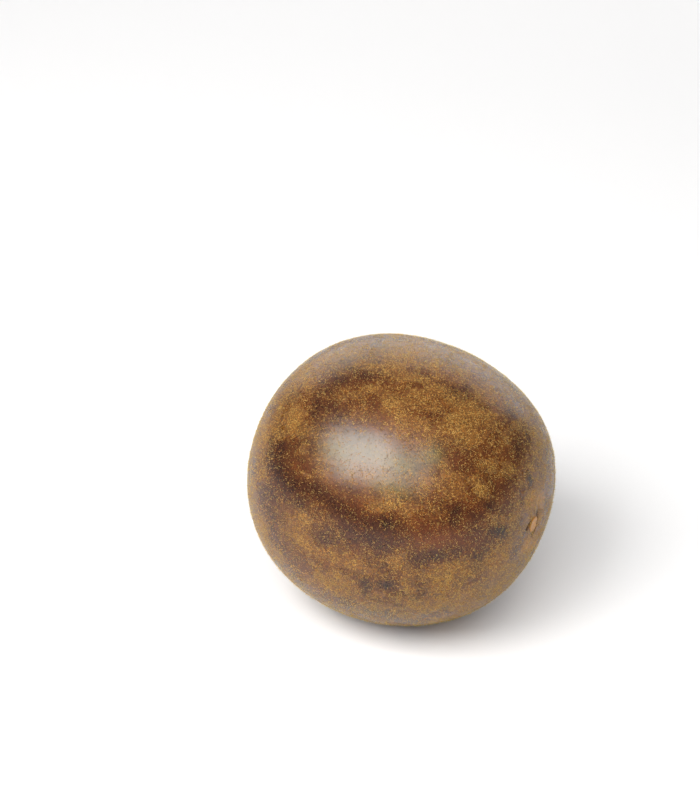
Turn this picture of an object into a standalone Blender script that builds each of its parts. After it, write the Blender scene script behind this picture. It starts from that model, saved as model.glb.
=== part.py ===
"""A dried monk fruit, whole, lying on its side as it comes to rest on a table.

Units are metres and +Z is up. The stalk end points along +X and the blossom end along -X.
The fruit lies on a small flat spot at z = 0, and the origin is the middle of its outline there,
seen from above.

A direction from the middle of the fruit is given by two angles: theta, from the stalk end, and
phi, round the stalk axis from the top of the fruit towards -Y.
"""

import math

import bmesh
import bpy
from mathutils import Vector

FRUIT_NAME = "fruit"

# The whole fruit
LENGTH = 0.0616
DIAMETER = 0.0579
FULLNESS = 2.25  # 2 is an ellipsoid, and more is squarer towards the two ends
BLOSSOM_FULLNESS = 0.015  # how much wider the blossom half is than the stalk half

# The cross-section: pressed a little oval as it dried, with a hint of its three carpels
OVAL = 0.024
OVAL_PHI = math.radians(118)
CARPELS = 3
CARPEL_BULGE = 0.004
CARPEL_PHI = math.radians(7)

# Soft swells and hollows left by drying: direction, height, and how far each spreads
SWELLS = (
    ((-0.02, -0.60, -0.80), 0.0004, math.radians(22)),
    ((0.74, 0.64, 0.22), 0.0004, math.radians(22)),
    ((0.45, -0.32, -0.83), -0.0003, math.radians(18)),
    ((0.42, 0.70, 0.58), -0.0003, math.radians(18)),
    ((-0.80, -0.30, -0.52), -0.0002, math.radians(18)),
)

# The stalk end: a broad flattening, and on it the round scar of the stalk
STALK_DISH_DEPTH = 0.0005
STALK_DISH_SPREAD = 0.009
SCAR_RADIUS = 0.0016
SCAR_HEIGHT = 0.0003
SCAR_EDGE = 0.0003
SCAR_CUP_DEPTH = 0.00015

# Two drying cracks beside the scar. Each is a path across the stalk end, and its points are the
# distance outwards along CRACK_PHI, the distance a quarter turn further round, and the depth there
CRACK_PHI = math.radians(234)
LONG_CRACK = (
    (-0.0003, 0.0029, 0.0001),
    (0.0010, 0.0016, 0.0005),
    (0.0019, -0.0001, 0.0007),
    (0.0017, -0.0012, 0.0006),
    (0.0012, -0.0024, 0.0001),
)
SHORT_CRACK = (
    (-0.0019, 0.0004, 0.00005),
    (-0.0021, -0.0005, 0.0004),
    (-0.0023, -0.0013, 0.0003),
    (-0.0026, -0.0019, 0.00005),
)
CRACK_HALF_WIDTH = 0.0003

# The blossom end: a dimple with the small knob where the flower was
DIMPLE_DEPTH = 0.0005
DIMPLE_SPREAD = 0.0024
KNOB_RADIUS = 0.0009
KNOB_HEIGHT = 0.0004
KNOB_EDGE = 0.00025

# How much the fruit's underside is pressed flat, which makes a spot about 13 mm across to rest on
REST_SPOT_DEPTH = 0.00045

# The mesh: meridians from end to end, and rings round the stalk axis, close together on the scars
MERIDIANS = 72
STALK_RINGS = 14
STALK_RING_SPACING = 0.00025
BODY_RINGS = 32
BODY_RING_EASE = 0.65  # 0 spaces the body's rings evenly, and near 1 crowds them to its two ends
BLOSSOM_RINGS = 6
BLOSSOM_RING_SPACING = 0.0004
RINGS = STALK_RINGS + BODY_RINGS + BLOSSOM_RINGS

WELD_DISTANCE = 0.00002

RIND_COLOUR = (0.235, 0.120, 0.045, 1.0)
RIND_ROUGHNESS = 0.45

HALF_LENGTH = LENGTH / 2
RADIUS = DIAMETER / 2


def ease(value):
    """Goes smoothly from 0 to 1 as the value does."""
    value = min(max(value, 0.0), 1.0)
    return value * value * (3 - 2 * value)


def plateau(distance, radius, edge):
    """1 within the radius, falling smoothly to 0 over the width of its edge."""
    return 1 - ease((distance - radius) / edge + 0.5)


def crack_depth(x, y, crack):
    """How deep a crack is at a point of the stalk end."""
    deepest = 0.0
    for (x0, y0, depth0), (x1, y1, depth1) in zip(crack, crack[1:]):
        run_x, run_y = x1 - x0, y1 - y0
        share = ((x - x0) * run_x + (y - y0) * run_y) / (run_x**2 + run_y**2)
        share = min(max(share, 0.0), 1.0)
        away = math.hypot(x - x0 - share * run_x, y - y0 - share * run_y)
        depth = depth0 + share * (depth1 - depth0)
        deepest = max(deepest, depth * math.exp(-((away / CRACK_HALF_WIDTH) ** 2)))
    return deepest


def stalk_relief(distance, phi):
    """The height of the stalk end's relief at a distance from its middle."""
    height = -STALK_DISH_DEPTH * math.exp(-((distance / STALK_DISH_SPREAD) ** 2))
    height += SCAR_HEIGHT * plateau(distance, SCAR_RADIUS, SCAR_EDGE)
    height -= SCAR_CUP_DEPTH * max(0.0, 1 - (distance / SCAR_RADIUS) ** 2)
    x = distance * math.cos(phi - CRACK_PHI)
    y = distance * math.sin(phi - CRACK_PHI)
    return height - crack_depth(x, y, LONG_CRACK) - crack_depth(x, y, SHORT_CRACK)


def blossom_relief(distance):
    """The height of the blossom end's relief at a distance from its middle."""
    height = -DIMPLE_DEPTH * math.exp(-((distance / DIMPLE_SPREAD) ** 2))
    return height + KNOB_HEIGHT * plateau(distance, KNOB_RADIUS, KNOB_EDGE)


def skin_point(theta, phi):
    """The point of the fruit's skin in one direction from its middle."""
    along = math.cos(theta)
    across = math.sin(theta)
    outward = Vector((along, -across * math.sin(phi), across * math.cos(phi)))
    reach = (abs(along / HALF_LENGTH) ** FULLNESS + abs(across / RADIUS) ** FULLNESS) ** (-1 / FULLNESS)
    section = OVAL * math.cos(2 * (phi - OVAL_PHI))
    section += CARPEL_BULGE * math.cos(CARPELS * (phi - CARPEL_PHI))
    reach *= 1 + across**2 * (section - BLOSSOM_FULLNESS * along)
    for direction, height, spread in SWELLS:
        reach += height * math.exp(-((outward.angle(Vector(direction)) / spread) ** 2))
    reach += stalk_relief(theta * HALF_LENGTH, phi)
    reach += blossom_relief((math.pi - theta) * HALF_LENGTH)
    return outward * reach


def ring_theta(ring):
    """The angle from the stalk end of one ring of the mesh, counted from the stalk end."""
    stalk_edge = STALK_RINGS * STALK_RING_SPACING / HALF_LENGTH
    blossom_edge = math.pi - BLOSSOM_RINGS * BLOSSOM_RING_SPACING / HALF_LENGTH
    if ring <= STALK_RINGS:
        return stalk_edge * ring / STALK_RINGS
    if ring >= RINGS - BLOSSOM_RINGS:
        return math.pi - (math.pi - blossom_edge) * (RINGS - ring) / BLOSSOM_RINGS
    share = (ring - STALK_RINGS) / BODY_RINGS
    share -= BODY_RING_EASE * math.sin(math.tau * share) / math.tau
    return stalk_edge + (blossom_edge - stalk_edge) * share


def cut_rest_spot(mesh):
    """Cuts the underside off flat, and closes it with one flat face."""
    level = min(vert.co.z for vert in mesh.verts) + REST_SPOT_DEPTH
    cut = bmesh.ops.bisect_plane(
        mesh,
        geom=mesh.verts[:] + mesh.edges[:] + mesh.faces[:],
        dist=WELD_DISTANCE,
        plane_co=(0, 0, level),
        plane_no=(0, 0, -1),
        clear_outer=True,
    )
    rim = [part for part in cut["geom_cut"] if isinstance(part, bmesh.types.BMEdge)]
    bmesh.ops.edgeloop_fill(mesh, edges=rim)
    bmesh.ops.remove_doubles(mesh, verts=mesh.verts[:], dist=WELD_DISTANCE)
    for vert in mesh.verts:
        if vert.co.z < level + WELD_DISTANCE:
            vert.co.z = level


def stand_on_origin(mesh):
    """Moves the mesh so that the origin is below the middle of its outline, at its lowest level."""
    low = Vector([min(vert.co[axis] for vert in mesh.verts) for axis in range(3)])
    high = Vector([max(vert.co[axis] for vert in mesh.verts) for axis in range(3)])
    middle = (low + high) / 2
    bmesh.ops.translate(mesh, verts=mesh.verts[:], vec=(-middle.x, -middle.y, -low.z))


def make_fruit():
    """Makes the fruit: a ball with its poles at the two ends, drawn out to the skin's shape."""
    mesh = bmesh.new()
    bmesh.ops.create_uvsphere(mesh, u_segments=MERIDIANS, v_segments=RINGS, radius=1.0)
    for vert in mesh.verts:
        ring = round(RINGS * math.acos(min(max(vert.co.z, -1.0), 1.0)) / math.pi)
        vert.co = skin_point(ring_theta(ring), math.atan2(vert.co.y, vert.co.x))
    cut_rest_spot(mesh)
    stand_on_origin(mesh)
    bmesh.ops.recalc_face_normals(mesh, faces=mesh.faces[:])
    data = bpy.data.meshes.new(FRUIT_NAME)
    mesh.to_mesh(data)
    mesh.free()
    data.shade_smooth()
    data.set_sharp_from_angle(angle=math.radians(40))
    return bpy.data.objects.new(FRUIT_NAME, data)


def rind_material():
    """The brown dried rind."""
    material = bpy.data.materials.new("dried_rind")
    material.use_nodes = True
    shader = material.node_tree.nodes["Principled BSDF"]
    shader.inputs["Base Color"].default_value = RIND_COLOUR
    shader.inputs["Roughness"].default_value = RIND_ROUGHNESS
    shader.inputs["Metallic"].default_value = 0.0
    return material


def main():
    for thing in list(bpy.data.objects):
        bpy.data.objects.remove(thing, do_unlink=True)
    collection = bpy.data.collections.new("monk_fruit")
    bpy.context.scene.collection.children.link(collection)
    fruit = make_fruit()
    fruit.data.materials.append(rind_material())
    collection.objects.link(fruit)


main()
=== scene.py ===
"""The finish of a dried monk fruit: its rind, its down, a plain pale studio and the camera.

Lengths are metres and +Z is up. The stalk end of the fruit points along +X.
"""

import math

import bpy
import numpy as np
from mathutils import Matrix, Vector, noise


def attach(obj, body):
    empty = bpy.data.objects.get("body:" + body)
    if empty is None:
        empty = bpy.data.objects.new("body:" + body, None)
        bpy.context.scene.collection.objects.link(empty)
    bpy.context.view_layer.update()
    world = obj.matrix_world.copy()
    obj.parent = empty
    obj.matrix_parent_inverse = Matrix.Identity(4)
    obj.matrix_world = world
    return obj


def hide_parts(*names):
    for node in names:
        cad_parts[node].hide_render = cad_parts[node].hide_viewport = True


bl_info = {
    "name": "Dried Monk Fruit",
    "version": (1, 0, 0),
    "blender": (4, 5, 0),
    "location": "3D View > Sidebar > Monk Fruit",
    "description": "Dresses the solid of a dried monk fruit with its rind and down",
    "category": "Object",
}

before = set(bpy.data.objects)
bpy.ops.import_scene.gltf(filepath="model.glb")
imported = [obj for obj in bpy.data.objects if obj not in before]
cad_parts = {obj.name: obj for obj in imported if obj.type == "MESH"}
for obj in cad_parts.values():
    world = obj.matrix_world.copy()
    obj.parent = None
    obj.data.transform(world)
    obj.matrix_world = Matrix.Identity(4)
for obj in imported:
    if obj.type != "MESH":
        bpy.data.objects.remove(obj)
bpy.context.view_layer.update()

MM = 0.001
FRUIT_NODE = "fruit"
BODY = "root"
RIND_PIECE = "rind"

# The middle that the fruit's own directions are counted from, in the row frame
FRUIT_MIDDLE = Vector((0.00008, -0.00004, 0.02807))

# Soft patches on the rind. Each is its place, in degrees from the stalk end and degrees round
# the stalk axis from the top towards -Y, its half-length along the fruit and its half-width
# round it in mm, and how strong it is
DOWNY_PATCHES = (
    (72, 10, 3, 2.2, 0.45),
    (65, 28, 3, 2.2, 0.5),
    (102, 9, 2.4, 1.6, 0.6),
    (77, 22, 2.4, 1.4, 0.6),
    (66, 35, 2, 1.6, 0.5),
    (34, 46, 1.8, 1.4, 0.6),
    (56, 94, 1.6, 2.6, 0.5),
    (85, 87, 1.8, 1.4, 0.4),
    (79, 8, 1.5, 1.4, 0.6),
    (97, 26, 1.4, 1, 0.4),
    (88, 21, 1.6, 1, 0.4),
    (120, 94, 2, 1.4, 0.4),
    (117, 105, 2.5, 1.6, 0.4),
    (71, 19, 2, 1.6, 0.5),
    (62, 37, 2, 1.6, 0.35),
    (36, 41, 2.2, 1.4, 0.5),
    (78, 80, 1.4, 1, 0.35),
    (70, 77, 1, 1, 0.4),
    (82, 88, 1.6, 1.2, 0.4),
    (75, 86, 1.6, 1.2, 0.4),
    (57, 82, 1.4, 1.4, 0.4),
    (43, 81, 1, 1, 0.3),
    (56, 103, 1.4, 1.2, 0.4),
    (61, 109, 1.2, 1.4, 0.4),
    (109, 57, 1.2, 1, 0.4),
    (110, 66, 1.2, 1, 0.35),
    (86, 66, 1.4, 1.2, 0.35),
    (101, 22, 1.2, 0.8, 0.35),
    (97, 9, 1.6, 1.2, 0.4),
    (129, 24, 3, 3, 0.4),
    (20, -36, 3, 3, 0.4),
    (26, 150, 4, 4, 0.4),
    (36, 24, 3, 3, 0.3),
    (128, 68, 3, 2, 0.5),
    (99, 98, 1.6, 1.6, 0.3),
    (77, 100, 1.4, 1.4, 0.3),
    (51, 115, 2, 2, 0.3),
    (96, 37, 1.6, 1.2, 0.35),
    (120, 42, 2.6, 2.5, 0.8),
    (129, 34, 3.7, 2, 0.35),
    (104, 63, 2, 0.6, 0.75),
    (101, 79, 1.6, 1.2, 0.6),
    (105, 89, 4, 2.2, 0.35),
    (87, 92, 5.6, 2.2, 0.35),
    (78, 92, 2.2, 1.5, 0.6),
    (89, 108, 5.5, 3.2, 0.6),
    (81, 101, 2.1, 1.7, 0.6),
    (61, 88, 1.4, 1, 0.6),
    (46, 95, 4.4, 2.3, 0.8),
    (34, 96, 3.3, 1.3, 0.5),
    (24, 92, 2.1, 1.2, 0.5),
    (15, 93, 2.4, 1.6, 0.5),
    (46, 105, 3.9, 1.8, 0.35),
    (52, 114, 3.8, 2.6, 0.6),
    (39, 127, 2.4, 4.5, 0.65),
    (72, 67, 1.5, 0.9, 0.55),
    (90, 33, 2.7, 1.6, 0.45),
    (76, 27, 3.5, 1.8, 0.5),
    (55, 13, 2.3, 2.4, 0.8),
    (77, -1, 1.2, 1.2, 0.5),
    (91, 5, 2.2, 1.2, 0.4),
    (80, 15, 2.1, 1.1, 0.35),
    (30, 20, 1.4, 1.3, 0.7),
    (49, 22, 3.3, 2.8, 0.35),
    (39, -12, 0.8, 2.7, 0.5),
    (102, 44, 1.7, 1.3, 0.45),
    (61, 63, 2.7, 1.1, 0.45),
    (9, 8, 2.8, 2.4, 0.85),
    (10, 166, 4.1, 3.3, 0.9),
    (126, 108, 2.7, 4.5, 0.5),
    (137, 51, 7.3, 3.2, 0.5),
    (129, 12, 3.5, 2.5, 0.6),
    (23, 118, 4.2, 7.9, 0.75),
    (89, -8, 5, 5.2, 0.4),
    (57, -13, 1.6, 3.8, 0.4),
    (31, -23, 2.5, 3, 0.6),
    (150, -150, 8, 7, 0.5),
    (95, -95, 6, 4, 0.6),
    (60, -130, 5, 5, 0.5),
    (120, 165, 6, 5, 0.45),
    (80, -50, 5, 3, 0.5),
    (110, -35, 4, 3, 0.5),
    (45, -70, 4, 3, 0.6),
    (75, -115, 3, 4, 0.6),
    (100, -170, 5, 3, 0.5),
    (60, 165, 4, 4, 0.5),
    (150, 60, 4, 5, 0.5),
    (160, -60, 5, 6, 0.6),
    (130, 135, 5, 4, 0.5),
    (35, -150, 4, 4, 0.5),
    (140, -30, 4, 5, 0.4),
)
RUBBED_PATCHES = (
    (83, 45, 5.5, 2.8, 0.75),
    (94, 50, 3.6, 2.8, 0.5),
    (67, 46, 3.2, 2.2, 0.45),
    (48, 33, 3.6, 2.2, 0.65),
    (50, 73, 3.8, 2.2, 0.4),
    (37, 74, 3.5, 2.1, 0.4),
    (72, -40, 7, 4, 0.5),
    (80, 150, 8, 4, 0.55),
    (100, -130, 7, 5, 0.6),
    (120, -20, 4, 3, 0.4),
)
DARK_STAINS = (
    (91, 55, 2.4, 1.8, 0.3),
    (89, 32, 1.4, 1, 0.4),
    (103, 42, 1.6, 1.4, 0.4),
    (53, 28, 1.4, 1, 0.3),
    (88, 10, 1.6, 1, 0.3),
    (84, 119, 3, 1.6, 0.35),
    (47, 107, 2, 1.4, 0.35),
    (119, 56, 1.6, 1.2, 0.5),
    (127, 55, 1.6, 1.6, 0.5),
    (70, 65, 2, 1, 0.25),
    (100, 76, 2.2, 1.4, 0.4),
    (107, 92, 2.4, 1.4, 0.4),
    (28, 82, 3, 1.4, 0.4),
    (20, 72, 1.4, 1.2, 0.5),
    (117, 84, 3.5, 2.4, 0.5),
    (104, 86, 3.2, 1.4, 0.3),
    (92, 84, 3.5, 2.4, 0.5),
    (34, -12, 2.5, 3, 0.35),
    (87, 44, 4, 3, 0.6),
    (111, 74, 3, 2, 0.6),
    (103, 73, 2.4, 2, 0.6),
    (94, 76, 2.2, 1.6, 0.45),
    (67, 74, 2.4, 1.4, 0.7),
    (66, 83, 2, 1.6, 0.6),
    (65, 92, 2, 2, 0.45),
    (49, 84, 3, 1.6, 0.6),
    (42, 63, 1.6, 2, 0.4),
    (40, 82, 3, 1.4, 0.5),
    (27, 76, 2.4, 1.4, 0.5),
    (30, 87, 2, 1.2, 0.35),
    (40, 101, 2, 2, 0.25),
    (41, 10, 1.8, 2, 0.3),
    (41, -12, 2, 2.4, 0.4),
    (32, -16, 2.4, 2.4, 0.4),
    (104, 44, 2, 1.6, 0.5),
    (110, 32, 2, 1.6, 0.5),
    (106, 51, 2.2, 1.6, 0.4),
    (93, 101, 2, 2, 0.25),
    (90, 14, 3.4, 0.9, 0.4),
    (107, 25, 2, 1.4, 0.4),
    (34, 71, 3, 1.6, 0.4),
    (47, 67, 2.4, 1.8, 0.3),
    (22, 37, 2, 1.4, 0.35),
    (25, 52, 1.6, 1.2, 0.3),
    (107, 21, 3.2, 1.7, 0.75),
    (97, 16, 2.3, 1, 0.75),
    (110, 27, 2.4, 1.6, 0.6),
    (110, 37, 1.7, 1.6, 0.6),
    (103, 34, 1.7, 1.6, 0.6),
    (98, 37, 1, 1, 0.75),
    (119, 57, 3.2, 2.4, 1),
    (118, 65, 3.8, 3, 0.95),
    (108, 58, 2.2, 1.1, 0.7),
    (104, 53, 0.9, 1.1, 0.5),
    (110, 69, 4.4, 2.2, 0.95),
    (98, 67, 3.4, 2, 0.95),
    (120, 76, 2.3, 1.9, 0.6),
    (88, 70, 3.2, 2, 0.9),
    (80, 72, 2.4, 1.7, 0.8),
    (66, 71, 2.3, 1.3, 1),
    (72, 79, 4.4, 2.2, 0.9),
    (73, 73, 2.3, 1.8, 0.7),
    (60, 77, 3, 2, 0.7),
    (43, 61, 1, 1.9, 0.8),
    (40, 56, 2.9, 1.5, 0.6),
    (31, 50, 2.3, 1.1, 0.95),
    (35, 59, 1.9, 0.8, 0.6),
    (23, 68, 2.6, 1.2, 0.75),
    (47, 84, 2.2, 1.4, 0.7),
    (52, 72, 3, 2, 0.45),
    (38, 74, 3.4, 1.8, 0.35),
    (54, 87, 1.5, 1.8, 0.55),
    (32, 87, 1.1, 0.9, 0.5),
    (71, 89, 1.8, 2.1, 0.5),
    (65, 100, 1.8, 1.4, 1),
    (73, 101, 1.3, 2, 0.75),
    (84, 115, 3.2, 2.4, 0.35),
    (70, 3, 0.9, 1.5, 0.55),
    (65, 3, 0.9, 1, 0.55),
    (61, -1, 1.1, 1.4, 0.6),
    (19, 2, 1.3, 1, 0.8),
    (33, 3, 2, 2.2, 0.4),
    (44, -11, 1.3, 2.4, 0.35),
    (28, 35, 1.4, 1.3, 0.4),
    (107, -3, 2, 2, 0.2),
    (70, 18, 1.3, 1, 0.25),
    (101, 98, 2.2, 2.6, 0.35),
    (89, 84, 2.8, 2.2, 0.6),
    (32, 96, 2.4, 2, 0.5),
    (66, 80, 3.0, 2.4, 0.5),
    (51, 84, 2.6, 2, 0.45),
    (27, 118, 1.6, 2.2, 0.25),
    (54, 104, 1.1, 2.4, 0.25),
    (14, 148, 1.9, 5.9, 0.25),
    (110, -60, 5, 3, 0.8),
    (70, -75, 5.5, 2, 0.8),
    (40, -100, 4, 3, 0.7),
    (130, -110, 5, 3.4, 0.8),
    (90, 178, 4, 4, 0.6),
    (150, -20, 3.5, 4.5, 0.5),
    (62, 152, 5, 2.2, 0.65),
    (95, -160, 6, 2, 0.7),
    (85, -30, 3, 1.6, 0.6),
    (55, -35, 2.5, 2, 0.6),
    (100, -120, 3, 2, 0.7),
    (125, -160, 3, 2, 0.6),
    (75, -145, 2.5, 2.5, 0.6),
    (140, 160, 3, 2.5, 0.6),
    (115, 140, 3, 1.6, 0.6),
    (160, 110, 3, 4, 0.5),
    (48, -165, 3, 2, 0.6),
    (135, -65, 2.2, 1.6, 0.7),
)
WARM_PATCHES = (
    (48, 33, 3.4, 2.2, 0.35),
    (6, -100, 2.2, 2.2, 0.6),
    (50, 73, 4.8, 2.6, 0.8),
    (37, 74, 4.4, 2.3, 0.8),
    (55, 68, 1.8, 1.5, 0.5),
    (38, 54, 5.4, 1.6, 0.6),
    (89, 16, 4.1, 1.8, 0.4),
    (66, 78, 5.8, 1.8, 0.5),
    (8, -122, 3.3, 2.6, 0.7),
    (107, 62, 3.5, 2.6, 0.3),
    (84, 69, 5.2, 2.3, 0.4),
    (8, -7, 2.6, 4, 0.6),
    (100, -80, 5, 3, 0.7),
    (60, -50, 4, 3, 0.6),
    (75, 165, 6, 3, 0.6),
    (120, -150, 4, 4, 0.6),
    (40, -140, 4, 3, 0.5),
    (140, -130, 4, 3, 0.6),
)
# Khaki places where the rind is dry and greenish, and a greyer band along the lower rim that is a
# painted reflection of the pale paper in front
KHAKI_AND_REFLECTION_PATCHES = (
    (115, 6, 5, 4, 0.5),
    (98, -4, 5, 4, 0.4),
    (80, -10, 5, 4, 0.3),
    # These two are painted reflection: they grey the lower rim where it mirrors the paper
    (72, 120, 6, 3, 0.5),
    (52, 122, 5, 3, 0.4),
    (84, 46, 5.9, 3.1, 0.75),
    (94, 50, 3.8, 2.6, 0.8),
    (67, 47, 4.3, 2.9, 0.8),
    (58, 38, 2.2, 2.4, 0.9),
    (68, 57, 4.4, 1.8, 0.8),
    (88, 56, 2.4, 1.4, 0.4),
    (90, -100, 6, 4, 0.5),
    (110, 150, 6, 4, 0.5),
)
GREY_SPOTS = (
    (65, 100, 1.5, 0.9, 0.85),
    (73, 101, 0.9, 1.4, 0.5),
    (66, 72, 0.8, 0.8, 0.7),
    (42, 65, 0.6, 0.8, 0.8),
    (43, 59, 0.6, 0.7, 0.5),
    (23, 68, 2, 1, 0.8),
    (20, 1, 1.1, 0.8, 0.9),
    (47, 84, 1, 0.6, 0.6),
    (32, 87, 0.7, 0.6, 0.6),
    (121, 22, 0.9, 0.8, 0.4),
    (55, 107, 0.6, 1.2, 0.4),
    (99, 37, 0.6, 0.6, 0.5),
    (12, -67, 0.5, 0.9, 0.8),
    (83.4, 121.4, 0.35, 0.35, 1),
    (80, -60, 1.6, 1.2, 0.8),
    (125, -85, 1.2, 1.6, 0.8),
    (55, -115, 1.8, 1.2, 0.7),
    (88, 160, 1.4, 1, 0.8),
    (35, 175, 1.2, 1.6, 0.7),
    (105, -105, 0.9, 0.8, 0.7),
    (70, -160, 1, 0.8, 0.7),
    (150, 150, 1, 1.4, 0.6),
)

# Dry ochre places round the stalk scar
OCHRE_PATCHES = (
    (9.5, -40, 1.8, 2.0, 0.75),
    (12, 5, 1.6, 1.8, 0.6),
    (8.5, 150, 1.6, 1.8, 0.75),
    (11.6, -168, 1.8, 2.0, 0.7),
    (6, -100, 1.4, 1.8, 0.4),
)

# The round scar of the stalk and the two drying cracks beside it. A crack's points are in mm, the
# distance outwards along CRACK_PHI and the distance a quarter turn further round
HALF_LENGTH = 30.8 * MM
SCAR_RADIUS = 1.6 * MM
SCAR_EDGE = 0.3 * MM
CRACK_PHI = 234
CRACKS = (
    ((-0.3, 2.9), (1.0, 1.6), (1.9, -0.1), (1.7, -1.2), (1.2, -2.4)),
    ((-1.9, 0.4), (-2.1, -0.5), (-2.3, -1.3), (-2.6, -1.9)),
)
# How wide the dark of a crack, its own dark inside with painted shade, is drawn
CRACK_HALF_WIDTH = 0.38 * MM

# How near to each other corners of the solid's loose triangles lie that become one
WELD_DISTANCE = 0.001 * MM

# The rest spot: what counts as level with the table, and the border left round its face
REST_LEVEL = 0.01 * MM
REST_BORDER = 0.5 * MM

# How far a noise is moved along X, Y and Z for a start of 1
NOISE_STARTS = (1.0, 1.7, 0.6)

# The ragged edges of the blotches: how far noise moves them, how far apart its swells are, where
# it starts, and how much further on it starts for each next axis
RAGGED_REACH = 0.6 * MM
RAGGED_SIZE = 2.2 * MM
RAGGED_START = 4.0
RAGGED_STEP = 5.0

# Where the down is thick and thin: the middle of its cover, the noises that it varies with, and
# the noises of its clumps. Each noise is how much it counts, how far apart its swells are in mm,
# and where it starts
COVER_MIDDLE = 0.50
COVER_NOISES = ((0.40, 9.0, 3.0), (0.35, 3.0, 8.0))
CLUMP_NOISES = ((1.2, 0.9, 2.0), (0.6, 2.6, 6.0))

# How much of a downy patch a full stain takes away
STAIN_HIDES = 0.85

# The kinds of hair: name, how many at most, length and width against a common hair's, thickness
# against its width, least and greatest slope out of the rind in degrees, and the odds that a root
# grows one. The odds are the least chance, what full cover adds to it, and the power of the cover
# that it follows
PRESSED = (0.5, 7)
STANDING = (30, 80)
DOWN_KINDS = (
    ("straw", 38000, 1.0, 1.3, 0.12, PRESSED, (0.05, 0.7, 2)),
    ("gold", 42000, 1.0, 1.3, 0.12, PRESSED, (0.07, 0.65, 1.6)),
    ("tan", 36000, 1.1, 1.1, 0.15, PRESSED, (0.16, 0.6, 1)),
    # The standing hairs are coloured paler than the rest: their own straw colour and a painted glow of
    # down lit from behind along the rim
    ("fringe", 44000, 0.9, 0.55, 1.0, STANDING, (0.3, 0.3, 1)),
)

# How many roots are tried for each hair, the least and greatest length and width of a hair against
# its kind's, how deep its root lies against its thickness, the gap kept between hairs and the
# table, and how unsteady the direction is that its turn is counted from
ROOTS_TRIED = 4
HAIR_LENGTHS = (0.5, 1.5)
HAIR_WIDTHS = (0.7, 1.3)
ROOT_DEPTH = 0.2
TABLE_GAP = 0.05 * MM
AXIS_JITTER = 0.02

# The darkest and the palest tone of a hair against its kind's colour
DARKEST_TONE = 0.55
PALEST_TONE = 1.45

# The glow that down too fine to model gives where it is seen from the side
DOWN_SHEEN = "#e8c05c"

PAPER_SIZE = 4.0

# The softboxes: name, direction from the fruit, direction of its width, width, height, distance,
# radiance in diffuse light and radiance in the gloss. Directions are right, away from the camera
# and up. Two stand side by side on the left, one lights the white wall behind the fruit, whose
# reflection pales the fruit's upper rim, and the last one softens the shadow
SOFTBOXES = (
    ("softbox_left", (-0.57, -0.41, 0.72), (1.0, -0.38, 0.29), 0.34, 0.36, 0.6, 8.8, 12.8),
    ("softbox_right", (-0.12, -0.62, 0.76), (1.0, -0.38, 0.29), 0.36, 0.38, 0.6, 2.9, 5.0),
    ("wall_light", (0.14, 1.0, 0.42), (1.0, 0.0, 0.0), 1.2, 0.5, 0.6, 0.9, 2.0),
    ("fill_light", (0.1, -0.60, 0.80), (1.0, 0.0, 0.0), 0.9, 0.6, 0.8, 1.8, 0.0),
)
GLOSS_BEHIND = 5 * MM

# The photograph's frame and where the middle of the fruit lies in it, in pixels
FRAME_WIDTH = 700
FRAME_HEIGHT = 800
FRUIT_AT = (400.8, 478.7)


def linear(hex_colour):
    """An sRGB hex colour as linear red, green and blue."""
    parts = [int(hex_colour[i : i + 2], 16) / 255 for i in (1, 3, 5)]
    return tuple(p / 12.92 if p <= 0.04045 else ((p + 0.055) / 1.055) ** 2.4 for p in parts)


def colour_property(name, description, hex_colour):
    """A colour that a user can change."""
    return bpy.props.FloatVectorProperty(
        name=name,
        description=description,
        subtype="COLOR",
        min=0.0,
        max=1.0,
        default=linear(hex_colour),
    )


def length_property(name, description, default):
    """A length that a user can change."""
    return bpy.props.FloatProperty(
        name=name, description=description, default=default, min=0.0, unit="LENGTH", precision=5
    )


class MonkFruitRindSettings(bpy.types.PropertyGroup):
    """Sizes and colours of the rind"""

    dark: colour_property("Dark rind", "The rind at its darkest away from the stains", "#341709")
    brown: colour_property("Brown rind", "The rind's common brown", "#4d260f")
    light: colour_property("Light rind", "The rind at its palest", "#653918")
    gold: colour_property("Pressed down", "Fine down pressed flat onto the rind", "#8a5f29")
    stain: colour_property("Stain", "Dark maroon blotches left by smoke and handling", "#250f09")
    warm: colour_property("Warm rind", "Red brown places", "#6c3717")
    # Also the tint of the painted reflection of the paper along the lower rim
    khaki: colour_property("Khaki rind", "Places where the rind is dry and greenish", "#5b4d22")
    grey: colour_property("Grey spots", "Small grey spots of old mould", "#292219")
    scar: colour_property("Scar", "The dry pith of the stalk scar", "#ae741c")
    # The cracks' own dark inside together with painted shade in their narrow gaps
    crack: colour_property("Crack", "The dark inside of a drying crack", "#1a0b08")
    swell_height: length_property("Swell height", "How far the rind's soft swells stand out", 0.00005)
    swell_size: length_property("Swell size", "How far apart the soft swells are", 0.007)
    grain_height: length_property("Grain height", "How far the rind's fine grain stands out", 0.000025)
    grain_size: length_property("Grain size", "How far apart the fine grain is", 0.0016)


class MonkFruitDownSettings(bpy.types.PropertyGroup):
    """Sizes and colours of the down"""

    length: length_property("Length", "Length of a common hair of the down", 0.00038)
    width: length_property("Width", "Width of a hair at its root, drawn coarser than real", 0.0001)
    straw: colour_property("Straw", "The palest hairs", "#e4b262")
    gold: colour_property("Gold", "Golden hairs", "#ae6f2b")
    tan: colour_property("Tan", "The darkest hairs", "#4a2810")
    # Partly the hairs' own straw colour, partly a painted glow of backlit down along the rim
    fringe: colour_property("Fringe", "The few hairs that still stand up", "#e4c272")
    seed: bpy.props.IntProperty(name="Seed", description="Changes where each hair grows", default=7)


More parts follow.
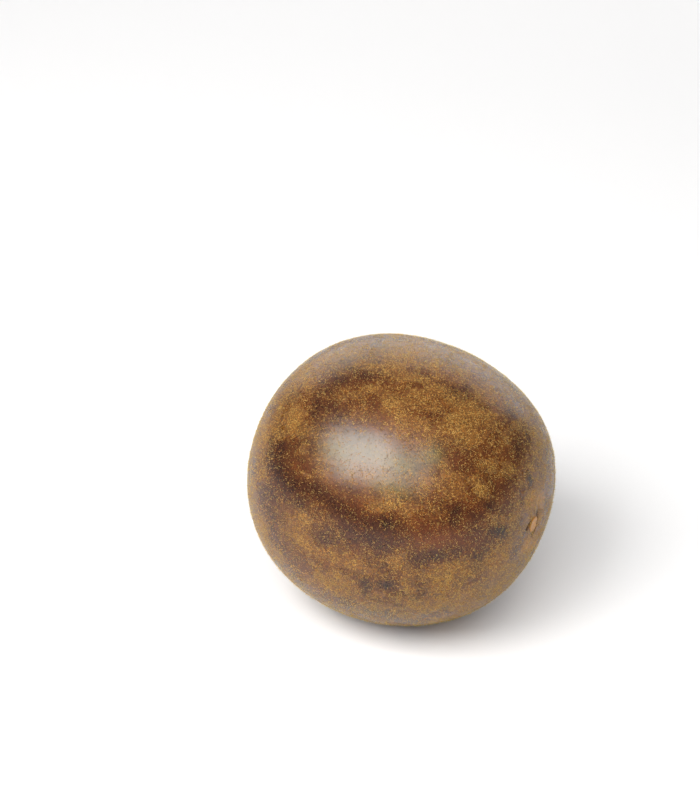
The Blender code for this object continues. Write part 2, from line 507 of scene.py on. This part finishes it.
class MonkFruitStudioSettings(bpy.types.PropertyGroup):
    """The studio and the camera"""

    azimuth: bpy.props.FloatProperty(
        name="Azimuth",
        description="The camera's place round the fruit",
        default=math.radians(31.8),
        subtype="ANGLE",
    )
    elevation: bpy.props.FloatProperty(
        name="Elevation",
        description="The camera's height above the table, as an angle",
        default=math.radians(31.5),
        subtype="ANGLE",
    )
    distance: length_property("Distance", "From the camera to the middle of the fruit", 0.3798)
    sensor: length_property("Sensor height", "Height of the camera's sensor", 0.024)
    lens: length_property("Focal length", "Focal length of the camera's lens", 0.0555)
    paper: colour_property("Paper", "The white paper that the fruit lies on", "#f2f1f0")
    air: colour_property("Surroundings", "The white studio round the table", "#f6f7fa")
    air_strength: bpy.props.FloatProperty(
        name="Surroundings strength",
        description="How bright the studio's walls are",
        default=0.22,
        min=0.0,
    )


def deselect_all():
    """Leaves nothing selected and no object in edit mode."""
    if bpy.context.mode != "OBJECT":
        bpy.ops.object.mode_set(mode="OBJECT")
    bpy.ops.object.select_all(action="DESELECT")


def pick(piece):
    """Selects one piece alone and makes it the active one."""
    deselect_all()
    piece.select_set(True)
    bpy.context.view_layer.objects.active = piece


def apply_modifier(piece, kind, **settings):
    """Adds a modifier with its settings and applies it."""
    pick(piece)
    modifier = piece.modifiers.new(kind.title(), kind)
    for name, value in settings.items():
        setattr(modifier, name, value)
    bpy.ops.object.modifier_apply(modifier=modifier.name)


def add_node(material, kind, links=None, **settings):
    """Adds a shader node with its settings, and links or sets its inputs."""
    made = material.node_tree.nodes.new(kind)
    for name, value in settings.items():
        setattr(made, name, value)
    for socket, source in (links or {}).items():
        if isinstance(source, bpy.types.NodeSocket):
            material.node_tree.links.new(source, made.inputs[socket])
        else:
            made.inputs[socket].default_value = source
    return made


def per(millimetres):
    """The scale of a texture whose features are this far apart."""
    return 1000.0 / millimetres


def new_material(name):
    """An empty node material and its Principled BSDF, linked to the output."""
    material = bpy.data.materials.new(name)
    material.use_nodes = True
    return material, material.node_tree.nodes["Principled BSDF"]


def points_of(piece):
    """A mesh's vertices and their normals as arrays."""
    count = len(piece.data.vertices)
    points, normals = np.empty(count * 3), np.empty(count * 3)
    piece.data.vertices.foreach_get("co", points)
    piece.data.vertices.foreach_get("normal", normals)
    return points.reshape(-1, 3), normals.reshape(-1, 3)


def direction(theta, phi):
    """The unit vector theta degrees from the stalk end and phi degrees round from the top."""
    theta, phi = math.radians(theta), math.radians(phi)
    across = math.sin(theta)
    return np.array((math.cos(theta), -across * math.sin(phi), across * math.cos(phi)))


def patch_weight(points, patches):
    """How strongly soft patches cover each point, from 0 to 1."""
    arms = points - np.array(FRUIT_MIDDLE)
    reach = np.linalg.norm(arms, axis=1)
    units = arms / reach[:, None]
    clear = np.ones(len(points))
    for theta, phi, along_mm, round_mm, strength in patches:
        outward = direction(theta, phi)
        along = direction(theta + 90, phi)
        around = np.cross(outward, along)
        away = (units @ along * reach / (along_mm * MM)) ** 2
        away += (units @ around * reach / (round_mm * MM)) ** 2
        clear *= 1 - strength * np.exp(-away) * (units @ outward > 0)
    return 1 - clear


def grain(points, size, start, octaves=3):
    """Smooth noise from about -1 to 1 whose swells are this far apart."""
    shift = Vector([start * way for way in NOISE_STARTS])
    return np.array([noise.fractal(Vector(p) / size + shift, 1.0, 2.0, octaves) for p in points])


def layered_grain(points, layers, octaves=3):
    """Several noises added up. Each is how much it counts, its size in mm and where it starts."""
    return sum(share * grain(points, size * MM, start, octaves) for share, size, start in layers)


def wander(points):
    """The points moved about by smooth noise, so that patches read there get ragged edges."""
    starts = [RAGGED_START + RAGGED_STEP * axis for axis in range(3)]
    moves = [grain(points, RAGGED_SIZE, start) for start in starts]
    return points + RAGGED_REACH * np.stack(moves, 1)


def set_attribute(piece, name, values):
    """Stores a number for each vertex."""
    attribute = piece.data.attributes.new(name, "FLOAT", "POINT")
    attribute.data.foreach_set("value", values.astype(np.float32))


def down_cover(points, stain):
    """How much of the rind the down covers, from 0 to 1."""
    cover = np.clip(COVER_MIDDLE + layered_grain(points, COVER_NOISES), 0.0, 1.0)
    cover *= (1 - patch_weight(points, RUBBED_PATCHES)) * (1 - stain)
    downy = (1 - STAIN_HIDES * stain) * patch_weight(points, DOWNY_PATCHES)
    return np.clip(cover + downy, 0.0, 1.0)


def scar_cover(points):
    """1 on the stalk scar, falling to 0 at its edge."""
    out = np.hypot(points[:, 1] - FRUIT_MIDDLE.y, points[:, 2] - FRUIT_MIDDLE.z)
    cover = 1 - np.clip((out - SCAR_RADIUS) / SCAR_EDGE + 0.5, 0, 1)
    return cover * (points[:, 0] > 0)


def crack_cover(points):
    """1 along the middle of the cracks of the stalk end, falling to 0 at their sides."""
    arms = points - np.array(FRUIT_MIDDLE)
    distance = np.arccos(arms[:, 0] / np.linalg.norm(arms, axis=1)) * HALF_LENGTH
    turn = np.arctan2(-arms[:, 1], arms[:, 2]) - math.radians(CRACK_PHI)
    places = np.stack([distance * np.cos(turn), distance * np.sin(turn)], 1)
    nearest = np.full(len(points), np.inf)
    for crack in CRACKS:
        for start, end in zip(crack, crack[1:]):
            start, run = np.array(start) * MM, (np.array(end) - np.array(start)) * MM
            share = np.clip((places - start) @ run / (run @ run), 0, 1)
            away = np.linalg.norm(places - start - share[:, None] * run, axis=1)
            nearest = np.minimum(nearest, away)
    return np.exp(-((nearest / CRACK_HALF_WIDTH) ** 2))


def merge_rest_spot(piece):
    """Joins the rest spot's triangles into one face with a narrow border, so that it stays flat."""
    bpy.ops.object.mode_set(mode="OBJECT")
    for face in piece.data.polygons:
        face.select = max(piece.data.vertices[i].co.z for i in face.vertices) < REST_LEVEL
    bpy.ops.object.mode_set(mode="EDIT")
    bpy.ops.mesh.select_mode(type="FACE")
    bpy.ops.mesh.dissolve_faces()
    bpy.ops.mesh.inset(thickness=REST_BORDER)


def level_rest_spot(rind):
    """Lifts what the grain pushed below the table back onto it."""
    points, _ = points_of(rind)
    points[:, 2] = np.maximum(points[:, 2], 0.0)
    rind.data.vertices.foreach_set("co", points.ravel())
    rind.data.update()


class MONKFRUIT_OT_rind(bpy.types.Operator):
    """Make the rind: the fruit's solid, smoothed and grained, with its marks"""

    bl_idname = "monkfruit.rind"
    bl_label = "Rind"
    bl_options = {"REGISTER", "UNDO"}

    def execute(self, context):
        settings = context.scene.monkfruit_rind
        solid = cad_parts[FRUIT_NODE]
        rind = bpy.data.objects.new(RIND_PIECE, solid.data.copy())
        context.scene.collection.objects.link(rind)
        pick(rind)
        bpy.ops.object.mode_set(mode="EDIT")
        bpy.ops.mesh.select_all(action="SELECT")
        bpy.ops.mesh.remove_doubles(threshold=WELD_DISTANCE)
        merge_rest_spot(rind)
        bpy.ops.mesh.select_all(action="SELECT")
        bpy.ops.mesh.tris_convert_to_quads(
            face_threshold=math.radians(40), shape_threshold=math.radians(60)
        )
        bpy.ops.object.mode_set(mode="OBJECT")
        apply_modifier(rind, "SUBSURF", levels=2, render_levels=2)
        for height, size in (
            (settings.swell_height, settings.swell_size),
            (settings.grain_height, settings.grain_size),
        ):
            clouds = bpy.data.textures.new("rind_relief", "CLOUDS")
            clouds.noise_scale = size
            clouds.noise_depth = 2
            apply_modifier(rind, "DISPLACE", texture=clouds, strength=height, mid_level=0.5)
        level_rest_spot(rind)
        bpy.ops.object.shade_smooth()
        points, _ = points_of(rind)
        ragged = wander(points)
        stain = patch_weight(ragged, DARK_STAINS)
        scar, crack = scar_cover(points), crack_cover(points)
        marks = {
            "stain": stain,
            "down": down_cover(points, stain),
            "warm": patch_weight(ragged, WARM_PATCHES),
            # Khaki places, with the painted reflection on the lower rim
            "khaki": patch_weight(ragged, KHAKI_AND_REFLECTION_PATCHES),
            "grey": patch_weight(points, GREY_SPOTS),
            "scar": 1 - (1 - scar) * (1 - patch_weight(ragged, OCHRE_PATCHES)),
            "crack": crack,
            "bare": 1 - (1 - scar) * (1 - crack),
        }
        for name, values in marks.items():
            set_attribute(rind, name, values)
        rind.data.materials.clear()
        rind.data.materials.append(rind_material(settings))
        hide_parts(FRUIT_NODE)
        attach(rind, BODY)
        return {"FINISHED"}


def rind_material(settings):
    """Dried gourd rind: thin, hard and leathery, rubbed to a low gloss.

    The eye sees warm browns in soft clouds drawn out along the fruit, maroon stains where it was
    handled, a fine golden mottle of down pressed flat, and a wide soft highlight.
    """
    material, shader = new_material("dried_gourd_rind")
    place = add_node(material, "ShaderNodeTexCoord").outputs["Object"]
    lengthwise = add_node(
        material, "ShaderNodeMapping", {"Vector": place, "Scale": (0.6, 1.0, 1.0)}
    ).outputs["Vector"]
    marks = {
        name: add_node(material, "ShaderNodeAttribute", attribute_name=name).outputs["Fac"]
        for name in ("down", "stain", "warm", "khaki", "grey", "scar", "crack")
    }

    # Each noise has the size in mm of what it draws. The mottle of down pressed flat is 0.3 to
    # 0.6 mm across on the real rind
    noises = {}
    for name, vector, size, detail, roughness, distortion in (
        ("clouds", lengthwise, 4.5, 5.0, 0.62, 0.3),
        ("mottle", place, 0.34, 3.0, 0.75, 0.0),
        ("shade", place, 0.30, 2.0, 0.7, 0.0),
        ("pits", place, 0.35, 3.0, 0.6, 0.0),
    ):
        noises[name] = add_node(
            material,
            "ShaderNodeTexNoise",
            {
                "Vector": vector,
                "Scale": per(size),
                "Detail": detail,
                "Roughness": roughness,
                "Distortion": distortion,
            },
        ).outputs["Fac"]

    # More of the mottle turns gold where there is more down
    raised = add_node(
        material,
        "ShaderNodeMath",
        {0: marks["down"], 1: 0.26, 2: noises["mottle"]},
        operation="MULTIPLY_ADD",
        use_clamp=True,
    ).outputs["Value"]
    spread = {}
    for name, value, low, high, least, most in (
        ("breakup", noises["mottle"], 0.35, 0.65, 0.6, 1.0),
        ("gold", raised, 0.60, 0.74, 0.0, 0.55),
        ("shade", noises["shade"], 0.32, 0.68, 0.35, 1.65),
        ("roughness", marks["down"], 0.0, 1.0, 0.23, 0.31),
    ):
        spread[name] = add_node(
            material,
            "ShaderNodeMapRange",
            {"Value": value, "From Min": low, "From Max": high, "To Min": least, "To Max": most},
        ).outputs["Result"]

    # The mottle breaks up the stains and the grey spots
    shares = {}
    for name, amount in (
        ("warm", 0.8),
        ("stain", spread["breakup"]),
        ("grey", spread["breakup"]),
    ):
        shares[name] = add_node(
            material,
            "ShaderNodeMath",
            {0: marks[name], 1: amount},
            operation="MULTIPLY",
            use_clamp=True,
        ).outputs["Value"]

    # The rind's own clouds of brown, and what lies over them from the lowest up
    tone = add_node(material, "ShaderNodeValToRGB", {"Fac": noises["clouds"]})
    ramp = tone.color_ramp.elements
    ramp[0].position, ramp[0].color = 0.29, (*settings.dark, 1)
    ramp[1].position, ramp[1].color = 0.73, (*settings.light, 1)
    ramp.new(0.50).color = (*settings.brown, 1)
    colour = tone.outputs["Color"]
    for tint, share in (
        (settings.warm, shares["warm"]),
        # Khaki, with the painted reflection of the paper on the lower rim
        (settings.khaki, marks["khaki"]),
        (settings.stain, shares["stain"]),
        (settings.gold, spread["gold"]),
        (settings.grey, shares["grey"]),
        (settings.scar, marks["scar"]),
        # The cracks: their own dark inside and painted shade in the gaps
        (settings.crack, marks["crack"]),
    ):
        colour = add_node(
            material,
            "ShaderNodeMix",
            {"Factor": share, "A": colour, "B": (*tint, 1)},
            data_type="RGBA",
        ).outputs["Result"]

    # Fine lighter and darker specks over all of it
    shade = spread["shade"]
    specks = add_node(
        material, "ShaderNodeCombineColor", {"Red": shade, "Green": shade, "Blue": shade}
    ).outputs["Color"]
    colour = add_node(
        material,
        "ShaderNodeMix",
        {"Factor": 1.0, "A": colour, "B": specks},
        data_type="RGBA",
        blend_type="MULTIPLY",
    ).outputs["Result"]
    bump = add_node(
        material,
        "ShaderNodeBump",
        {"Height": noises["pits"], "Strength": 0.25, "Distance": 0.08 * MM},
    )
    material.node_tree.links.new(colour, shader.inputs["Base Color"])
    material.node_tree.links.new(spread["roughness"], shader.inputs["Roughness"])
    material.node_tree.links.new(bump.outputs["Normal"], shader.inputs["Normal"])
    shader.inputs["IOR"].default_value = 1.5
    shader.inputs["Specular IOR Level"].default_value = 0.4
    shader.inputs["Sheen Weight"].default_value = 0.5
    shader.inputs["Sheen Roughness"].default_value = 0.15
    shader.inputs["Sheen Tint"].default_value = (*linear(DOWN_SHEEN), 1)
    return material


def hair_shape():
    """The corners of one hair of the down, modelled once: a three-sided spike 1 long and 1 wide."""
    deselect_all()
    bpy.ops.mesh.primitive_cone_add(
        vertices=3, radius1=0.5, radius2=0.0, depth=1.0, location=(0, 0, 0.5)
    )
    spike = bpy.context.object
    pick(spike)
    bpy.ops.object.transform_apply(location=True, rotation=True, scale=True)
    corners, _ = points_of(spike)
    faces = [tuple(face.vertices) for face in spike.data.polygons]
    bpy.data.objects.remove(spike, do_unlink=True)
    return corners, np.array(faces)


def scatter(rind, count, draw):
    """Roots spread evenly over the rind: places, normals, down cover and how bare it is there."""
    mesh = rind.data
    mesh.calc_loop_triangles()
    corners = np.empty(len(mesh.loop_triangles) * 3, dtype=np.int64)
    mesh.loop_triangles.foreach_get("vertices", corners)
    corners = corners.reshape(-1, 3)
    points, normals = points_of(rind)
    cover, bare = np.empty(len(points)), np.empty(len(points))
    mesh.attributes["down"].data.foreach_get("value", cover)
    mesh.attributes["bare"].data.foreach_get("value", bare)
    a, b, c = (points[corners[:, k]] for k in range(3))
    areas = np.linalg.norm(np.cross(b - a, c - a), axis=1)
    chosen = draw.choice(len(corners), size=count, p=areas / areas.sum())
    first, second = draw.random(count), draw.random(count)
    flip = first + second > 1
    first[flip], second[flip] = 1 - first[flip], 1 - second[flip]
    weights = np.stack([1 - first - second, first, second], 1)
    corners = corners[chosen]
    place = (points[corners] * weights[:, :, None]).sum(1)
    normal = (normals[corners] * weights[:, :, None]).sum(1)
    normal /= np.linalg.norm(normal, axis=1)[:, None]
    cover, bare = ((values[corners] * weights).sum(1) for values in (cover, bare))
    return place, normal, cover, bare


def hair_frames(normal, slopes, draw):
    """For each hair the way it points, and two directions across it."""
    count = len(normal)
    stalk_axis = np.array((1.0, 0.0, 0.0))
    along = stalk_axis - normal * (normal @ stalk_axis)[:, None]
    along += draw.normal(0, AXIS_JITTER, (count, 3))
    along /= np.linalg.norm(along, axis=1)[:, None]
    around = np.cross(normal, along)
    around /= np.linalg.norm(around, axis=1)[:, None]
    turn = draw.uniform(0, 2 * np.pi, count)
    slope = np.radians(draw.uniform(*slopes, count))
    flat = along * np.cos(turn)[:, None] + around * np.sin(turn)[:, None]
    points_to = flat * np.cos(slope)[:, None] + normal * np.sin(slope)[:, None]
    across = np.cross(points_to, normal)
    across /= np.linalg.norm(across, axis=1)[:, None]
    return points_to, across, np.cross(across, points_to)


def hair_mesh(name, verts, faces, hairs):
    """A mesh of hairs, whose vertices follow one another and whose faces are all alike."""
    starts = np.arange(hairs) * (len(verts) // hairs)
    loops = (faces[None] + starts[:, None, None]).ravel()
    mesh = bpy.data.meshes.new(name)
    mesh.vertices.add(len(verts))
    mesh.vertices.foreach_set("co", verts.ravel())
    mesh.loops.add(len(loops))
    mesh.loops.foreach_set("vertex_index", loops)
    mesh.polygons.add(hairs * len(faces))
    mesh.polygons.foreach_set("loop_start", np.arange(hairs * len(faces)) * 3)
    mesh.update(calc_edges=True)
    mesh.validate()
    return mesh


def grow_down(rind, name, count, length, width, thickness, slopes, odds, seed):
    """Makes one piece of down: many short hairs rooted in the rind."""
    draw = np.random.default_rng(seed)
    shape, faces = hair_shape()
    place, normal, cover, bare = scatter(rind, count * ROOTS_TRIED, draw)
    least, more, power = odds
    clump = layered_grain(place, CLUMP_NOISES, 2)
    chance = np.clip((least + more * cover**power) * (1 + clump), 0, 1) * (1 - bare)
    grows = np.flatnonzero(draw.random(len(place)) < chance)[:count]
    place, normal = place[grows], normal[grows]
    lengths = length * draw.uniform(*HAIR_LENGTHS, len(grows))
    widths = width * draw.uniform(*HAIR_WIDTHS, len(grows))
    points_to, across, over = hair_frames(normal, slopes, draw)
    clear = place[:, 2] + points_to[:, 2] * lengths > TABLE_GAP
    place, normal, points_to, across, over, lengths, widths = (
        values[clear] for values in (place, normal, points_to, across, over, lengths, widths)
    )
    roots = place - normal * (ROOT_DEPTH * width * thickness)
    verts = (
        roots[:, None]
        + points_to[:, None] * (shape[None, :, 2] * lengths[:, None])[..., None]
        + across[:, None] * (shape[None, :, 0] * widths[:, None])[..., None]
        + over[:, None] * (shape[None, :, 1] * thickness * widths[:, None])[..., None]
    ).reshape(-1, 3)
    hairs = len(roots)
    piece = bpy.data.objects.new(name, hair_mesh(name, verts, faces, hairs))
    bpy.context.scene.collection.objects.link(piece)
    set_attribute(piece, "tip", np.tile(shape[:, 2], hairs))
    set_attribute(piece, "tone", np.repeat(draw.random(hairs), len(shape)))
    lay_out_hairs(piece.data, hairs, faces, shape)
    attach(piece, BODY)
    return piece


def lay_out_hairs(mesh, hairs, faces, shape):
    """A UV map that gives each hair its own small square."""
    side = math.ceil(math.sqrt(hairs))
    tip_spot, root_spots = (0.5, 0.9), ((0.1, 0.1), (0.9, 0.1), (0.5, 0.4))
    layout = np.zeros((len(faces), 3, 2))
    for face, corners in enumerate(faces):
        spots = iter(root_spots)
        for slot, corner in enumerate(corners):
            layout[face, slot] = tip_spot if shape[corner, 2] > 0.5 else next(spots)
    squares = np.stack([np.arange(hairs) % side, np.arange(hairs) // side], 1)
    uv = (squares[:, None, None, :] + layout[None]) / side
    layer = mesh.uv_layers.new(name="OFBake")
    layer.data.foreach_set("uv", uv.astype(np.float32).ravel())


def down_material(name, colour):
    """Plant down, pressed and rubbed: hairs with a low gloss, darker at the root.

    The eye sees a fine golden fuzz whose single hairs differ a little in tone.
    """
    material, shader = new_material(name)
    tip, tone = (
        add_node(material, "ShaderNodeAttribute", attribute_name=mark).outputs["Fac"]
        for mark in ("tip", "tone")
    )
    share = add_node(
        material, "ShaderNodeMath", {0: tip, 1: tone}, operation="ADD"
    ).outputs["Value"]
    share = add_node(
        material, "ShaderNodeMath", {0: share, 1: 0.5}, operation="MULTIPLY"
    ).outputs["Value"]
    darker = [part * DARKEST_TONE for part in colour]
    paler = [min(part * PALEST_TONE, 1) for part in colour]
    mixed = add_node(
        material,
        "ShaderNodeMix",
        {"Factor": share, "A": (*darker, 1), "B": (*paler, 1)},
        data_type="RGBA",
    )
    material.node_tree.links.new(mixed.outputs["Result"], shader.inputs["Base Color"])
    shader.inputs["Roughness"].default_value = 0.5
    shader.inputs["Specular IOR Level"].default_value = 0.12
    shader.inputs["Sheen Weight"].default_value = 0.2
    shader.inputs["Sheen Roughness"].default_value = 0.25
    shader.inputs["Sheen Tint"].default_value = (*linear(DOWN_SHEEN), 1)
    return material


class MONKFRUIT_OT_down(bpy.types.Operator):
    """Grow the down: short hairs, thick in some places and rubbed off in others"""

    bl_idname = "monkfruit.down"
    bl_label = "Down"
    bl_options = {"REGISTER", "UNDO"}

    def execute(self, context):
        settings = context.scene.monkfruit_down
        rind = bpy.data.objects[RIND_PIECE]
        for step, (kind, count, reach, girth, thickness, slopes, odds) in enumerate(DOWN_KINDS):
            name = f"down_{kind}"
            length, width = settings.length * reach, settings.width * girth
            seed = settings.seed + step
            piece = grow_down(rind, name, count, length, width, thickness, slopes, odds, seed)
            piece.data.materials.append(down_material(name, getattr(settings, kind)))
        return {"FINISHED"}


def paper_material(settings):
    """Uncoated white paper: matt, with a faint tooth."""
    material, shader = new_material("white_paper")
    place = add_node(material, "ShaderNodeTexCoord").outputs["Object"]
    tooth = add_node(
        material, "ShaderNodeTexNoise", {"Vector": place, "Scale": per(1.5), "Detail": 2.0}
    ).outputs["Fac"]
    bump = add_node(
        material, "ShaderNodeBump", {"Height": tooth, "Strength": 0.05, "Distance": 0.1 * MM}
    )
    material.node_tree.links.new(bump.outputs["Normal"], shader.inputs["Normal"])
    shader.inputs["Base Color"].default_value = (*settings.paper, 1)
    shader.inputs["Roughness"].default_value = 0.85
    return material


def camera_axes(settings):
    """The camera's right, up and forward directions."""
    turn, rise = settings.azimuth, settings.elevation
    right = Vector((math.cos(turn), math.sin(turn), 0))
    level = math.cos(rise)
    forward = Vector((-math.sin(turn) * level, math.cos(turn) * level, -math.sin(rise)))
    return right, right.cross(forward), forward


def add_camera(settings):
    """The camera, placed so that the middle of the fruit lies where the photograph has it."""
    right, up, forward = camera_axes(settings)
    pixels = settings.lens / settings.sensor * FRAME_HEIGHT
    aside, above = FRUIT_AT[0] - FRAME_WIDTH / 2, FRAME_HEIGHT / 2 - FRUIT_AT[1]
    sight = Vector((aside / pixels, above / pixels, 1))
    sight = sight.normalized() * settings.distance
    camera = bpy.data.objects.new("camera", bpy.data.cameras.new("camera"))
    bpy.context.scene.collection.objects.link(camera)
    camera.data.sensor_fit = "VERTICAL"
    camera.data.sensor_height = settings.sensor / MM
    camera.data.lens = settings.lens / MM
    camera.data.clip_start = 0.01
    camera.location = FRUIT_MIDDLE - right * sight.x - up * sight.y - forward * sight.z
    camera.rotation_euler = (-forward).to_track_quat("Z", "Y").to_euler()
    bpy.context.scene.camera = camera


def add_softbox(settings, name, towards, along, width, height, distance, diffuse, gloss):
    """A softbox that faces the fruit, with its width turned along the given direction.

    It is two lights, and the one for the gloss stands just behind, because a ray that meets one
    light passes over another in the same plane.
    """
    right, _, forward = camera_axes(settings)
    level = Vector((forward.x, forward.y, 0)).normalized()
    towards, along = (
        right * way[0] + level * way[1] + Vector((0, 0, way[2])) for way in (towards, along)
    )
    towards.normalize()
    along = (along - towards * along.dot(towards)).normalized()
    turned = Matrix((along, towards.cross(along), towards)).transposed()
    for share, radiance, behind in (("diffuse", diffuse, 0.0), ("gloss", gloss, GLOSS_BEHIND)):
        light = bpy.data.lights.new(f"{name}_{share}", "AREA")
        light.shape = "RECTANGLE"
        light.size = width
        light.size_y = height
        light.energy = radiance * math.pi * width * height
        softbox = bpy.data.objects.new(light.name, light)
        softbox.visible_diffuse = share == "diffuse"
        softbox.visible_glossy = share == "gloss"
        bpy.context.scene.collection.objects.link(softbox)
        softbox.location = FRUIT_MIDDLE + towards * (distance + behind)
        softbox.rotation_euler = turned.to_euler()


class MONKFRUIT_OT_studio(bpy.types.Operator):
    """Set up the studio: white paper, white surroundings, softboxes and the camera"""

    bl_idname = "monkfruit.studio"
    bl_label = "Studio"
    bl_options = {"REGISTER", "UNDO"}

    def execute(self, context):
        settings = context.scene.monkfruit_studio
        deselect_all()
        bpy.ops.mesh.primitive_plane_add(size=PAPER_SIZE, location=(0, 0, 0))
        paper = context.object
        paper.name = "paper"
        paper.data.materials.append(paper_material(settings))
        world = bpy.data.worlds.new("studio")
        world.use_nodes = True
        air = world.node_tree.nodes["Background"]
        air.inputs["Color"].default_value = (*settings.air, 1)
        air.inputs["Strength"].default_value = settings.air_strength
        context.scene.world = world
        for softbox in SOFTBOXES:
            add_softbox(settings, *softbox)
        add_camera(settings)
        context.scene.view_settings.view_transform = "Standard"
        return {"FINISHED"}


class MONKFRUIT_PT_panel(bpy.types.Panel):
    """The monk fruit's pieces and settings"""

    bl_label = "Monk Fruit"
    bl_idname = "MONKFRUIT_PT_panel"
    bl_space_type = "VIEW_3D"
    bl_region_type = "UI"
    bl_category = "Monk Fruit"

    def draw(self, context):
        scene = context.scene
        for operator, group in (
            ("monkfruit.rind", scene.monkfruit_rind),
            ("monkfruit.down", scene.monkfruit_down),
            ("monkfruit.studio", scene.monkfruit_studio),
        ):
            box = self.layout.box()
            box.operator(operator)
            for name in group.__annotations__:
                box.prop(group, name)


CLASSES = (
    MonkFruitRindSettings,
    MonkFruitDownSettings,
    MonkFruitStudioSettings,
    MONKFRUIT_OT_rind,
    MONKFRUIT_OT_down,
    MONKFRUIT_OT_studio,
    MONKFRUIT_PT_panel,
)


def register():
    for kind in CLASSES:
        bpy.utils.register_class(kind)
    bpy.types.Scene.monkfruit_rind = bpy.props.PointerProperty(type=MonkFruitRindSettings)
    bpy.types.Scene.monkfruit_down = bpy.props.PointerProperty(type=MonkFruitDownSettings)
    bpy.types.Scene.monkfruit_studio = bpy.props.PointerProperty(type=MonkFruitStudioSettings)


def unregister():
    del bpy.types.Scene.monkfruit_studio
    del bpy.types.Scene.monkfruit_down
    del bpy.types.Scene.monkfruit_rind
    for kind in reversed(CLASSES):
        bpy.utils.unregister_class(kind)


def main():
    register()
    bpy.ops.monkfruit.rind()
    bpy.ops.monkfruit.down()
    bpy.ops.monkfruit.studio()


if __name__ == "__main__":
    main()
